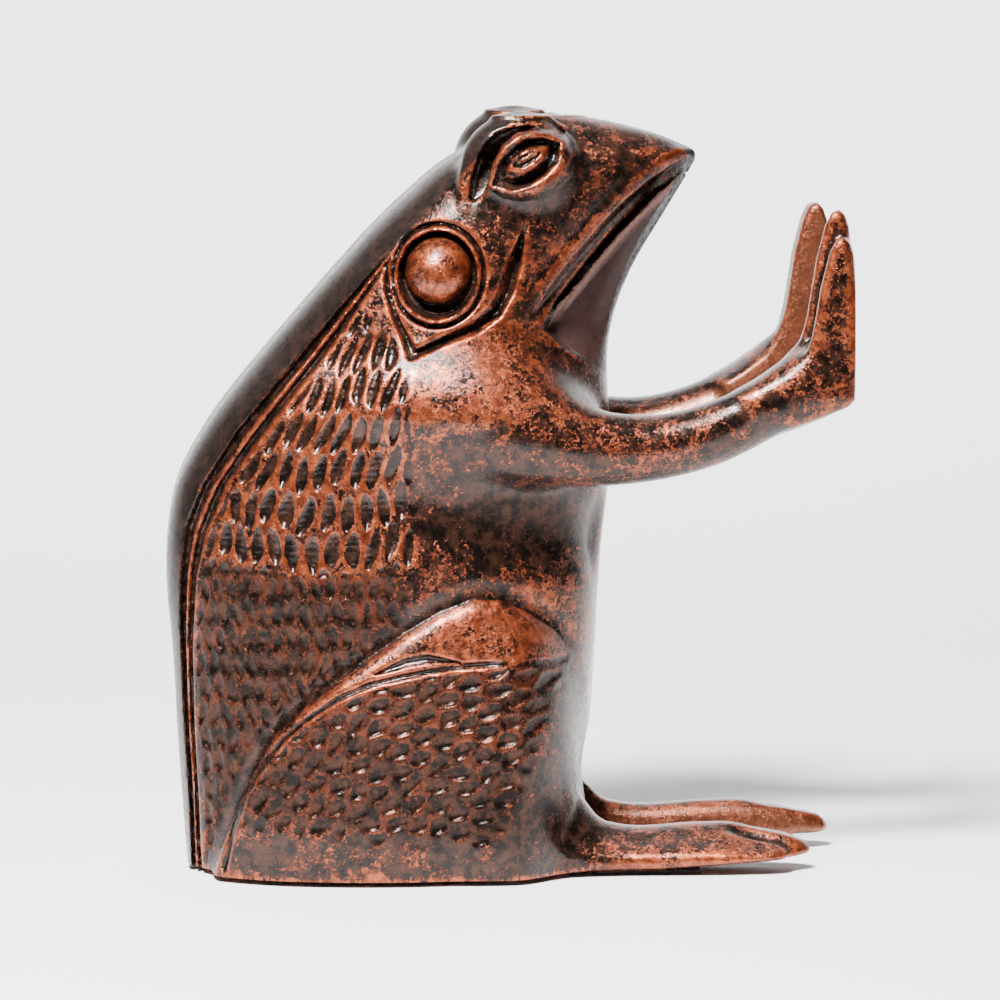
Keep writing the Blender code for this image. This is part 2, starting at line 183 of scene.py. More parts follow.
# Where copper red shows most and least: x, z, half sizes, amount. Most places follow wear of the patina; the
# negative ones on the chest under the arm (2, 70), along the arm's lower side (4, 84) and at the front of the
# base (6, 12) take copper away as painted shade.
WEAR_AND_PAINTED_SHADE = (
    (-4.0, 95.0, 13.0, 10.0, 0.20), (2.0, 107.0, 10.0, 6.0, 0.16), (14.0, 126.0, 10.0, 12.0, 0.08),
    (-12.0, 120.3, 7.0, 7.0, 0.14), (-36.0, 82.0, 17.0, 18.0, 0.16), (2.0, 70.0, 15.0, 7.0, -0.34),
    (-30.0, 63.0, 22.0, 4.0, 0.10), (2.0, 49.0, 14.0, 8.0, 0.22), (-22.0, 34.0, 24.0, 8.0, 0.12),
    (6.0, 12.0, 14.0, 12.0, -0.22), (14.0, 139.0, 19.0, 11.0, -0.08), (0.0, 132.0, 12.0, 6.0, -0.05),
    (46.0, 90.0, 14.0, 9.0, -0.10), (66.0, 116.0, 9.0, 16.0, 0.06), (40.0, 7.0, 26.0, 7.0, 0.08),
    (-48.0, 30.0, 14.0, 24.0, -0.06), (-50.0, 94.0, 10.0, 12.0, -0.10), (4.0, 84.0, 18.0, 5.0, -0.12),
)
EAR_CENTRE = (-12.0, 120.3)
EAR_RADIUS = 6.7
EAR_RING_CENTRE = (-11.8, 119.3)
EAR_RING = (8.9, 9.8)

# Fastenings: x, z of each, then radii, and distances from the joint plane
SCREWS = ((-20.0, 94.0), (-30.0, 34.0))
PINS = ((14.0, 120.0), (-60.0, 50.0))
SCREW_BOSS_RADIUS = 7.5
SCREW_BORE_RADIUS = 2.55
SCREW_HEAD_RADIUS = 4.5
SCREW_HEAD_SEAT = 16.5
SCREW_BORE_DEPTH = 13.3
PIN_BOSS_RADIUS = 6.0
PIN_BOSS_DEPTH = 7.2
PIN_BORE_RADIUS = 2.3
PIN_BORE_DEPTH = 5.3

# Metres, as the materials and the CAD are
TURNING_PITCH = 0.00035
CHATTER_PITCH = 0.0013
FELT_ROUNDING = 0.00022

# Colours of the patina
BLACK = (0.008, 0.005, 0.004, 1.0)
BROWN = (0.042, 0.017, 0.011, 1.0)
THROAT_BROWN = (0.052, 0.028, 0.026, 1.0)
# Grey brown of the back's smooth band: partly its own patina, partly painted shade
SPINE_BROWN_AND_SHADE = (0.030, 0.022, 0.020, 1.0)
DEEP_RED = (0.13, 0.025, 0.010, 1.0)
COPPER_RED = (0.36, 0.080, 0.028, 1.0)
DULL_RED = (0.056, 0.017, 0.010, 1.0)
INNER_RED = (0.20, 0.060, 0.028, 1.0)
INNER_BROWN = (0.10, 0.034, 0.020, 1.0)
# Pale brown for the lower lip ridge: a painted highlight
LIP_PAINTED_HIGHLIGHT = (0.42, 0.22, 0.17, 1.0)
DEPOSIT_GREEN = (0.20, 0.22, 0.17, 1.0)
FILED_DARK = (0.06, 0.062, 0.068, 1.0)
FILED_BRIGHT = (0.22, 0.225, 0.235, 1.0)


# Helpers for fields


def spline(table, column, at):
    """A smooth curve through one column of a table, keyed on its first column."""
    keys = np.array([row[0] for row in table], dtype=np.float64)
    values = np.array([row[column] for row in table], dtype=np.float64)
    slopes = np.gradient(values, keys)
    at = np.clip(at, keys[0], keys[-1])
    index = np.clip(np.searchsorted(keys, at, side="right") - 1, 0, len(keys) - 2)
    width = keys[index + 1] - keys[index]
    share = (at - keys[index]) / width
    square, cube = share * share, share * share * share
    return (
        (2 * cube - 3 * square + 1) * values[index]
        + (cube - 2 * square + share) * width * slopes[index]
        + (3 * square - 2 * cube) * values[index + 1]
        + (cube - square) * width * slopes[index + 1]
    )


def ramp(low, high, value):
    """0 below low, 1 above high, with a smooth step between."""
    share = np.clip((value - low) / (high - low), 0.0, 1.0)
    return share * share * (3.0 - 2.0 * share)


def bell(distance, width):
    """1 on a line, falling smoothly to 0 at this distance."""
    share = np.clip(np.abs(distance) / width, 0.0, 1.0)
    return (1.0 - share * share) ** 2


def trough(distance, width):
    """1 on a line, falling to 0 at this distance with steep walls."""
    return np.clip(1.0 - (distance / width) ** 4, 0.0, 1.0)


def smooth_min(a, b, k):
    """The union of two fields, with a fillet about k wide."""
    share = np.clip(0.5 + 0.5 * (b - a) / k, 0.0, 1.0)
    return b + (a - b) * share - k * share * (1.0 - share)


def smooth_max(a, b, k):
    """The overlap of two fields, with an edge rounded by about k."""
    return -smooth_min(-a, -b, k)


def line_distance(x, z, points):
    """Distance from a line of points, which side it is on, and the run along the line."""
    best = np.full(np.broadcast(x, z).shape, 1e9)
    side = np.zeros_like(best)
    along = np.zeros_like(best)
    run = 0.0
    for (x0, z0), (x1, z1) in zip(points, points[1:]):
        dx, dz = x1 - x0, z1 - z0
        length = math.hypot(dx, dz)
        share = np.clip(((x - x0) * dx + (z - z0) * dz) / length**2, 0.0, 1.0)
        ex, ez = x - x0 - share * dx, z - z0 - share * dz
        distance = ex * ex + ez * ez
        nearer = distance < best
        best = np.where(nearer, distance, best)
        side = np.where(nearer, dx * ez - dz * ex, side)
        along = np.where(nearer, run + share * length, along)
        run += length
    return np.sqrt(best), np.sign(side), along


def inside_distance(x, z, points):
    """Distance from a closed outline, positive inside it."""
    closed = tuple(points) + (points[0],)
    distance, _, _ = line_distance(x, z, closed)
    inside = np.zeros(distance.shape, dtype=bool)
    for (x0, z0), (x1, z1) in zip(closed, closed[1:]):
        if z0 == z1:
            continue
        crosses = (z0 > z) != (z1 > z)
        inside ^= crosses & (x < (x1 - x0) * (z - z0) / (z1 - z0) + x0)
    return np.where(inside, distance, -distance)


def scatter(i, j, seed):
    """A fixed number between 0 and 1 for each cell of a pattern."""
    value = np.sin(i * 127.1 + j * 311.7 + seed * 74.7) * 43758.5453
    return value - np.floor(value)


# The relief on the side of the figure


def chips(along, across, seed, deepest=-0.28, width=0.47):
    """Rows of pointed hollows cut with a gouge, in cells one unit long and wide.

    Returns how deep each point is, 0 to 1, and how near it is to a cell's edge.
    """
    along = along + 0.07 * np.sin(2.1 * across + 1.3 * seed) + 0.05 * np.sin(5.3 * across)
    row = np.floor(along)
    across = across + 0.10 * np.sin(2.9 * along + 0.7 * across)
    across = across + 0.5 * np.mod(row, 2.0) + 0.34 * (scatter(row, 0.0, seed) - 0.5)
    column = np.floor(across)
    wobble = scatter(column, row, seed + 1.0) - 0.5
    fall = along - row - 0.5 + 0.16 * (scatter(column, row, seed + 2.0) - 0.5)
    lean = 0.5 * (scatter(column, row, seed + 4.0) - 0.5)
    sideways = across - column - 0.5 + 0.14 * wobble + lean * fall
    leaf = np.clip(1.0 - (fall / 0.49) ** 2, 0.0, 1.0)
    reach = width * (0.94 + 0.12 * wobble) * leaf**0.75
    hollow = np.clip(1.0 - (sideways / np.maximum(reach, 1e-3)) ** 2, 0.0, 1.0)
    hollow = np.where(leaf > 0.0, hollow, 0.0)
    slope = np.where(
        fall > deepest,
        1.0 - 0.55 * (fall - deepest) / (0.5 - deepest),
        np.clip((fall + 0.5) / (deepest + 0.5), 0.0, 1.0) ** 0.7,
    )
    share = 0.6 + 0.6 * scatter(column, row, seed + 3.0)
    return hollow * slope * np.minimum(share, 1.1), hollow


def scale_cells(x, z):
    """The three fields of scales: their depth, and masks."""
    outer_distance, outer_side, _ = line_distance(x, z, RIDGE_OUTER)
    inner_distance, inner_side, _ = line_distance(x, z, RIDGE_INNER)
    front_of_lines = inner_distance * inner_side
    tear_distance, _, _ = line_distance(x, z, TEAR)
    in_thigh = inside_distance(x, z, THIGH)

    back = spline(BACK, 1, z)
    lean = 0.30 + 0.45 * ramp(-20.0, -50.0, x)
    across = (x - lean * (back + 60.0)) / 3.35
    along = (z - 0.006 * (x + 36.0) ** 2 - 60.9) / 7.8
    upper, upper_leaf = chips(along, across, 3.0)
    upper_mask = (
        ramp(0.2, 1.4, front_of_lines)
        * ramp(-15.4, -17.6, x + 0.03 * (z - 80.0))
        * ramp(59.5, 61.0, z - 0.006 * (x + 36.0) ** 2)
        * ramp(1.6, 3.4, tear_distance)
        * ramp(112.5, 109.0, z + 0.5 * (x + 26.0))
    )

    across = (x - 0.5 * lean * (back + 60.0)) / 2.75
    along = (z - 0.02 * (x + 40.0)) / 5.0
    lower, lower_leaf = chips(along, across, 11.0, deepest=-0.2, width=0.42)
    lower_mask = (
        ramp(0.2, 1.4, front_of_lines)
        * ramp(-17.0, -20.0, x + 0.20 * (z - 56.0))
        * ramp(61.0, 59.0, z - 0.006 * (x + 36.0) ** 2)
        * ramp(-1.2, -3.0, in_thigh)
    )

    line_away, line_side, _ = line_distance(x, z, THIGH_LINE)
    inside_line = line_away * line_side
    turn = math.radians(36.0)
    p = x * math.cos(turn) + z * math.sin(turn)
    q = -x * math.sin(turn) + z * math.cos(turn) + 0.004 * (p - 5.0) ** 2
    thigh, thigh_leaf = chips(q / 3.3, p / 5.6, 23.0, deepest=-0.2, width=0.46)
    thigh_mask = (
        ramp(0.4, 2.0, inside_line)
        * ramp(11.5, 7.0, x - 0.35 * (z - 30.0))
        * ramp(6.0, 12.0, z + 0.1 * (x + 20.0))
        * (in_thigh > 0.0)
    )
    return {
        "upper": (upper * upper_mask, upper_leaf * upper_mask, upper_mask),
        "lower": (lower * lower_mask, lower_leaf * lower_mask, lower_mask),
        "thigh": (thigh * thigh_mask, thigh_leaf * thigh_mask, thigh_mask),
        "front_of_lines": front_of_lines,
        "outer": outer_distance * outer_side,
        "in_thigh": in_thigh,
        "inside_line": inside_line,
    }


def relief(x, z, finish=None):
    """How far the surface stands out at a place on the side, beyond the plain form, and the mouth's share.

    Where finish is a dictionary, the masks that the material reads are put in it.
    """
    cells = scale_cells(x, z)
    in_thigh = cells["in_thigh"]

    # Leg: a step up along the thigh, rounder at the knee
    knee = ramp(-34.0, -6.0, x)
    soft = 3.0 + 9.0 * knee
    rise = np.clip(in_thigh / soft, 0.0, 1.0)
    height = (3.4 + 0.8 * knee) * np.sqrt(1.0 - (1.0 - rise) ** 2) * ramp(15.5, 5.0, x)
    height -= (0.7 - 0.5 * knee) * bell(in_thigh + 1.4, 3.0)

    # Head: a groove for the mouth with a thin lip under it
    mouth_away, mouth_side, mouth_along = line_distance(x, z, MOUTH)
    mouth_signed = mouth_away * mouth_side
    fade = ramp(-1.0, 3.0, mouth_along) * ramp(45.2, 38.0, mouth_along)
    mouth_width = 1.2 + 0.7 * ramp(0.0, 20.0, mouth_along) - 0.6 * ramp(34.0, 45.0, mouth_along)
    mouth = -2.3 * fade * trough(mouth_away, mouth_width)
    mouth += 0.7 * fade * bell(mouth_signed - 2.3, 1.4)
    mouth += 0.4 * fade * bell(mouth_signed + 2.8, 1.8)

    # Eye: a socket under the brow, a ring of lid, a groove and a pupil
    in_eye = inside_distance(x, z, EYE)
    in_lid = inside_distance(x, z, LID)
    in_pupil = inside_distance(x, z, PUPIL)
    under_brow = ramp(148.4, 147.0, z)
    height += under_brow * (0.5 * ramp(-0.9, 0.6, in_eye) + 0.9 * bell(in_eye - 1.3, 2.2))
    height -= 1.9 * bell(in_lid - 0.5, 1.5) + 0.9 * ramp(0.2, 1.4, in_lid)
    height += 1.5 * ramp(-1.1, 0.2, in_pupil) - 0.9 * ramp(0.5, 1.0, in_pupil)
    slit_away, _, _ = line_distance(x, z, ((4.4, 141.4), (7.6, 143.2)))
    height += 0.8 * bell(slit_away, 0.7)

    # Ear: a dome in a hollow, inside a ring
    dome_away = np.hypot(x - EAR_CENTRE[0], z - EAR_CENTRE[1])
    ring = np.hypot((x - EAR_RING_CENTRE[0]) / EAR_RING[0], (z - EAR_RING_CENTRE[1]) / EAR_RING[1])
    height -= 3.0 * ramp(0.93, 0.78, ring)
    height += 0.7 * bell(ring - 0.91, 0.10)
    height -= 1.0 * bell(ring - 1.03, 0.075)
    dome = np.sqrt(np.clip(1.0 - (dome_away / EAR_RADIUS) ** 2, 0.0, 1.0))
    height += 5.4 * dome

    # The pointed frame round the ear
    tear_away, _, tear_along = line_distance(x, z, TEAR)
    tear_width = 0.5 + 1.4 * ramp(0.0, 9.0, tear_along) - 0.6 * ramp(20.0, 30.0, tear_along)
    tear_width = tear_width - 0.4 * ramp(36.0, 42.0, tear_along) - 0.4 * ramp(52.0, 58.0, tear_along)
    tear_depth = (2.5 - 0.9 * ramp(18.0, 30.0, tear_along)) * ramp(-1.0, 5.0, tear_along)
    tear_depth = tear_depth * ramp(57.0, 50.0, tear_along)
    height -= tear_depth * bell(tear_away, tear_width)

    # Lines down the back
    outer, front = cells["outer"], cells["front_of_lines"]
    across = np.clip(outer / np.maximum(outer - front, 0.2), 0.0, 1.0)
    between = (outer > 0.0) & (front < 0.0)
    spread = np.clip((outer - front) / 3.0, 0.0, 1.4) * ramp(126.0, 121.0, z)
    channel = np.sin(across * 2.0 * math.pi) ** 2
    height -= np.where(between, 1.0 * channel * spread, 0.0)
    height += 0.25 * ramp(0.8, -0.3, outer) * ramp(126.0, 118.0, z)

    # Thigh: a smooth rim over the scales, with a crescent cut in it
    line = cells["inside_line"]
    line_fade = ramp(4.0, -2.0, x)
    height -= 0.9 * line_fade * bell(line, 1.0) * (in_thigh > 0.0)
    crescent_away, _, crescent_along = line_distance(x, z, CRESCENT)
    crescent_width = 0.3 + 1.2 * np.sin(np.clip(crescent_along / 17.0, 0.0, 1.0) * math.pi)
    height -= 0.9 * bell(crescent_away, crescent_width)

    # Chest: drawn in under the arm
    chest_away, _, _ = line_distance(x, z, CHEST)
    height -= 1.6 * bell(chest_away, 11.0)

    upper, lower, thigh = cells["upper"], cells["lower"], cells["thigh"]
    height -= 0.85 * upper[0] + 0.55 * lower[0] + 0.75 * thigh[0]
    if finish is not None:
        finish["scales"] = upper[2] + lower[2] + thigh[2]
        finish["chip"] = upper[1] + lower[1] + thigh[1]
        finish["crisp"] = upper[2] + ramp(0.5, 3.0, outer) * ramp(1.0, -1.0, front) * ramp(55.0, 62.0, z)
        # The back's smooth band, which the material darkens partly as painted shade
        finish["spine"] = ramp(1.0, -1.5, outer)
        finish["thigh"] = ramp(-0.5, 1.0, in_thigh)
        finish["throat"] = ramp(-0.5, 0.8, inside_distance(x, z, THROAT))
        # The lower lip ridge, which the material paints with a highlight
        finish["lip"] = fade * bell(mouth_signed - 2.3, 1.4)
        finish["copper"] = copper_share(x, z)
    return height, mouth


def copper_share(x, z):
    """How much of the dark patina is rubbed through to copper red, beyond the usual share. Its negative places
    on the chest, the arm's underside and the front of the base take copper away as painted shade.
    """
    share = np.zeros(np.broadcast(x, z).shape)
    for centre_x, centre_z, half_x, half_z, amount in WEAR_AND_PAINTED_SHADE:
        away = np.hypot((x - centre_x) / half_x, (z - centre_z) / half_z)
        share = share + amount * bell(away, 1.6)
    return share


def cut(x, out, z):
    """The relief, which dies away towards the joint plane, and the mouth, which goes further."""
    height, mouth = relief(x, z)
    return height * ramp(1.5, 7.0, out) + mouth * ramp(0.8, 3.4, out)


# The plain form


def normalised(field, step):
    """Turns an implicit field into something close to a distance near its surface."""
    slopes = np.gradient(field, step)
    size = np.sqrt(sum(slope * slope for slope in slopes))
    return np.clip(field / np.maximum(size, 1e-4), -BAND * 3.0, BAND * 3.0)


def torso_field(x, out, z, inset=0.0):
    """Body and head: ovals with their own front and back, stacked up the profile."""
    back = spline(BACK, 1, z) + inset
    front = spline(FRONT, 1, z) - inset
    half = np.maximum(spline(BREADTH, 1, z) - inset, 0.3)
    widest = spline(BREADTH, 2, z)
    sharpness = spline(BREADTH, 3, z)
    widest = np.clip(widest, back + 0.3, front - 0.3)
    ahead = x > widest
    reach = np.where(ahead, front - widest, widest - back)
    mixed = ramp(-8.0, 8.0, x - widest)
    power = 2.0 / BACK_SHARPNESS + (2.0 / sharpness - 2.0 / BACK_SHARPNESS) * mixed
    squeeze = 1.0
    if inset == 0.0:
        throat = ramp(-0.4, 0.6, inside_distance(x, z, THROAT)) * ramp(99.0, 110.0, z)
        squeeze = 1.0 - 0.32 * throat
    run = ((x - widest) / reach) ** 2
    spread = np.abs(out) / (half * squeeze)
    field = (run + spread**power) ** 0.5 - 1.0
    return field.astype(np.float32)


def ellipsoid(x, out, z, centre, size):
    """Distance to a rounded form."""
    dx, do, dz = x - centre[0], out - centre[1], z - centre[2]
    near = np.sqrt((dx / size[0]) ** 2 + (do / size[1]) ** 2 + (dz / size[2]) ** 2)
    slope = np.sqrt((dx / size[0] ** 2) ** 2 + (do / size[1] ** 2) ** 2 + (dz / size[2] ** 2) ** 2)
    return near * (near - 1.0) / np.maximum(slope, 1e-6)


def slab(side_distance, out, low, high, rounding):
    """A side view pushed out between two planes, with rounded edges."""
    a = -side_distance + rounding
    b = np.abs(out - (low + high) / 2.0) - (high - low) / 2.0 + rounding
    outside = np.hypot(np.maximum(a, 0.0), np.maximum(b, 0.0))
    return outside + np.minimum(np.maximum(a, b), 0.0) - rounding


def arm_field(x, out, z, side):
    """A limb of oval sections along the arm's line, ending in a flat palm and two fingers."""
    reach = ramp(12.0, 60.0, x + HAND_SETBACK[side] * 0.5) * HAND_SETBACK[side]
    x = x + reach
    table = [(index, *row) for index, row in enumerate(ARM)]
    dense = np.linspace(0.0, len(ARM) - 1.0, 65)
    columns = [spline(table, column, dense) for column in range(1, 6)]
    best = np.full(np.broadcast(x, z).shape, 1e9)
    depth, width, centre = np.ones_like(best), np.ones_like(best), np.zeros_like(best)
    for index in range(len(dense) - 1):
        x0, z0 = columns[0][index], columns[1][index]
        dx, dz = columns[0][index + 1] - x0, columns[1][index + 1] - z0
        share = np.clip(((x - x0) * dx + (z - z0) * dz) / (dx * dx + dz * dz), 0.0, 1.0)
        distance = np.hypot(x - x0 - share * dx, z - z0 - share * dz)
        nearer = distance < best
        best = np.where(nearer, distance, best)
        for section, column in ((depth, 2), (width, 3), (centre, 4)):
            value = columns[column][index] * (1 - share) + columns[column][index + 1] * share
            section[...] = np.where(nearer, value, section)
    near = np.sqrt((best / depth) ** 2 + ((out - centre) / width) ** 2)
    slope = np.sqrt((best / depth**2) ** 2 + ((out - centre) / width**2) ** 2)
    limb = near * (near - 1.0) / np.maximum(slope, 1e-6)

    fingers = None
    for low, high, forward, drop in ((9.2, 14.6, 0.0, 0.0), (13.8, 21.4, 1.3, 5.2)):
        shape = inside_distance(x - forward, z + drop * ramp(96.0, 118.0, z + drop), HAND)
        finger = slab(shape, out, low, high, 1.5)
        fingers = finger if fingers is None else smooth_min(fingers, finger, 0.8)
    palm = slab(inside_distance(x, z, HAND), out, 9.2, 22.0, 3.0)
    palm = smooth_max(palm, z - 106.0 + 0.8 * (out - 14.0), 5.0)
    hand = smooth_min(fingers, palm, 2.0)
    limb = smooth_min(limb, hand, 3.0)
    inside = ARM_INSIDE * ramp(17.5, 24.5, x)
    limb = smooth_max(limb, inside - out, 0.7)
    return limb


def foot_field(x, out, z, side):
    """A foot from its plan and its top line, with shallow furrows between the toes."""
    stretch = (60.7 - 2.0) / (60.7 - 2.0 + FOOT_LEAD[side])
    x = np.where(x > 2.0, 2.0 + (x - 2.0) * stretch, x)
    plan = inside_distance(x, out, FOOT)
    top = spline(FOOT_TOP, 1, x) + FOOT_HEIGHT[side] * ramp(12.0, 20.0, x)
    lateral = np.clip((out - 7.0) / 15.0, 0.0, 1.0)
    fall = 1.0 - 0.60 * ramp(0.30, 1.05, lateral)
    outer_furrow = ((44.0, 14.4), (50.0, 15.4), (58.4, 16.9))
    inner_furrow = ((47.0, 11.0), (59.0, 13.0))
    for line, depth in ((outer_furrow, 1.5), (inner_furrow, 0.7)):
        away, _, along = line_distance(x, out, line)
        fall = fall - depth * 0.10 * bell(away, 1.8) * ramp(-1.0, 6.0, along)
    edge = np.clip(plan / 3.6, 0.0, 1.0)
    lift = np.sqrt(1.0 - (1.0 - edge) ** 2)
    surface = SOLE + (top - SOLE) * fall * (0.42 + 0.58 * lift)
    form = smooth_max((z - surface) * 0.8, -plan, 0.8)
    curl = (1.0 - np.clip(plan / 2.0, 0.0, 1.0)) ** 2 * ramp(14.0, 20.0, x)
    underside = SOLE + 1.8 * ramp(26.0, 62.0, x) + 0.9 * curl
    return smooth_max(form, (underside - z - RISE * out) * 0.9, 0.5)


def plain_form(x, out, z, side, step):
    """The outside of one half, without its relief."""
    form = normalised(torso_field(x, out, z), step)
    form = smooth_max(form, z - HEAD_TOP, 0.6)
    limb = smooth_max(arm_field(x, out, z, side), x - SWEEP * out - PALM_X + HAND_SETBACK[side], 0.4)
    form = smooth_min(form, limb, 3.0 + 6.0 * ramp(85.0, 92.0, z) * ramp(40.0, 30.0, x))
    form = smooth_min(form, foot_field(x, out, z, side), 2.4)
    shin = ellipsoid(x, out, z, (1.6, 15.2, 20.0), (13.2, 13.2, 34.0))
    form = smooth_min(form, shin, 4.0)
    brow = ellipsoid(x, out, z, (3.4, 12.6, 140.2), (11.6, 8.6, 10.8))
    form = smooth_min(form, brow, 2.2)
    brow_away, _, brow_along = line_distance(x, z, BROW)
    brow_out = 12.2 + 0.30 * np.clip(151.0 - z, 0.0, 20.0)
    thick = 0.4 + 1.2 * ramp(0.0, 5.0, brow_along) * ramp(31.0, 18.0, brow_along)
    form = smooth_min(form, np.hypot(brow_away, out - brow_out) - thick, 1.6)
    pit = smooth_max(-inside_distance(x, z, SOCKET), 12.4 + 0.32 * np.hypot(x + 6.0, z - 146.0) - out, 0.8)
    form = smooth_max(form, -pit, 0.6)
    return form.astype(np.float32)


def hollow_form(x, out, z, side, step):
    """The space inside one half, with its bosses and drilled holes, positive in the metal."""
    space = normalised(torso_field(x, out, z, inset=WALL), step)
    space = np.maximum(space, z - CAVITY_TOP)
    x, z = x - SWEEP * out, z + RISE * out
    for centre_x, centre_z in SCREWS:
        boss = SCREW_BOSS_RADIUS - np.hypot(x - centre_x, z - centre_z)
        space = np.maximum(space, boss)
    for centre_x, centre_z in PINS:
        boss = np.minimum(PIN_BOSS_RADIUS - np.hypot(x - centre_x, z - centre_z), PIN_BOSS_DEPTH - out)
        space = np.maximum(space, boss)
    for centre_x, centre_z in SCREWS:
        away = np.hypot(x - centre_x, z - centre_z)
        if side == LEFT:
            space = np.minimum(space, away - SCREW_BORE_RADIUS)
            space = np.minimum(space, np.maximum(away - SCREW_HEAD_RADIUS, SCREW_HEAD_SEAT - out))
        else:
            space = np.minimum(space, np.maximum(away - SCREW_BORE_RADIUS, out - SCREW_BORE_DEPTH))
    for centre_x, centre_z in PINS:
        away = np.hypot(x - centre_x, z - centre_z)
        space = np.minimum(space, np.maximum(away - PIN_BORE_RADIUS, out - PIN_BORE_DEPTH))
    return (-space).astype(np.float32)


# Meshing


class Field:
    """A sampled field that is read between its samples."""

    def __init__(self, values, origin, step):
        self.values, self.origin, self.step = values, np.array(origin), step

    def at(self, points):
        place = (points - self.origin) / self.step
        limit = np.array(self.values.shape) - 1.001
        place = np.clip(place, 0.0, limit)
        base = place.astype(np.int64)
        share = place - base
        flat = self.values.ravel()
        _, height, depth = self.values.shape
        start = (base[:, 0] * height + base[:, 1]) * depth + base[:, 2]
        total = np.zeros(len(points))
        for a in (0, 1):
            wa = share[:, 0] if a else 1.0 - share[:, 0]
            for b in (0, 1):
                wb = share[:, 1] if b else 1.0 - share[:, 1]
                for c in (0, 1):
                    wc = share[:, 2] if c else 1.0 - share[:, 2]
                    total += wa * wb * wc * flat[start + (a * height + b) * depth + c]
        return total


def sculpt(side):
    """Vertices (x, out, z) and faces of one half, and where its outer skin is."""
    low = np.array((-71.6, -2.0 * STEP, -1.2))
    high = np.array((71.6, 35.0, 153.4))
    axes = [np.arange(a, b, STEP) for a, b in zip(low, high)]
    x, out, z = axes[0][:, None, None], axes[1][None, :, None], axes[2][None, None, :]
    plain = plain_form(x, out, z, side, STEP)
    inner = hollow_form(x, out, z, side, STEP)
    outer = np.clip(plain - cut(x, out, z), -BAND, BAND).astype(np.float32)
    underside = SOLE - z - RISE * out
    solid = np.maximum(np.maximum(outer, inner), np.maximum(JOINT - out, underside))
    solid = np.clip(solid, -BAND, BAND).astype(np.float32)
    grid = openvdb.FloatGrid(BAND)
    grid.copyFromArray(solid, tolerance=0.0)
    points, quads = grid.convertToQuads(isovalue=0.0)
    points = points.astype(np.float64) * STEP + low

    plain_read, inner_read = Field(plain, low, STEP), Field(inner, low, STEP)

    def outside(p):
        return plain_read.at(p) - cut(p[:, 0], p[:, 1], p[:, 2])

    near_joint = np.abs(points[:, 1] - JOINT) < 0.75 * STEP
    near_sole = np.abs(points[:, 2] + RISE * points[:, 1] - SOLE) < 0.75 * STEP
    for _ in range(3):
        skin, bore = outside(points), inner_read.at(points)
        on_skin = skin > bore
        value = np.maximum(skin, bore)
        slopes = np.zeros_like(points)
        nudge = 0.15
        for axis in range(3):
            shifted = points.copy()
            shifted[:, axis] += nudge
            ahead = np.where(on_skin, outside(shifted), inner_read.at(shifted))
            shifted[:, axis] -= 2.0 * nudge
            behind = np.where(on_skin, outside(shifted), inner_read.at(shifted))
            slopes[:, axis] = (ahead - behind) / (2.0 * nudge)
        slopes[near_joint, 1] = 0.0
        slopes[near_sole, 2] = 0.0
        size = np.maximum((slopes**2).sum(axis=1), 0.05)
        move = -value / size
        flat = near_joint | near_sole
        move = np.where(flat & (np.abs(value) > 0.8 * STEP), 0.0, move)
        move = slopes * move[:, None]
        length = np.linalg.norm(move, axis=1)
        limit = 0.45 * STEP
        move *= (np.minimum(length, limit) / np.maximum(length, 1e-9))[:, None]
        points += move
        points[near_joint, 1] = JOINT
        points[near_sole, 2] = SOLE - RISE * points[near_sole, 1]
    points[:, 1] = np.maximum(points[:, 1], JOINT)
    points[:, 2] = np.maximum(points[:, 2], SOLE - RISE * points[:, 1])
    return points, quads, on_skin & ~near_joint


def smooth_values(values, edges, count, rounds):
    """Moves each vertex's values halfway to its neighbours' mean a number of times."""
    degree = np.bincount(edges.ravel(), minlength=count).astype(np.float64)
    degree = np.maximum(degree, 1.0)
    for _ in range(rounds):
        total = np.zeros_like(values)
        for column in range(values.shape[1]):
            total[:, column] = np.bincount(
                edges[:, 0], weights=values[edges[:, 1], column], minlength=count
            ) + np.bincount(edges[:, 1], weights=values[edges[:, 0], column], minlength=count)
        values = values + 0.5 * (total / degree[:, None] - values)
    return values


def store(mesh, name, values):
    """Keeps one number for each vertex, for the material to read."""
    layer = mesh.attributes.new(name, "FLOAT", "POINT")
    layer.data.foreach_set("value", np.ascontiguousarray(values, dtype=np.float32))


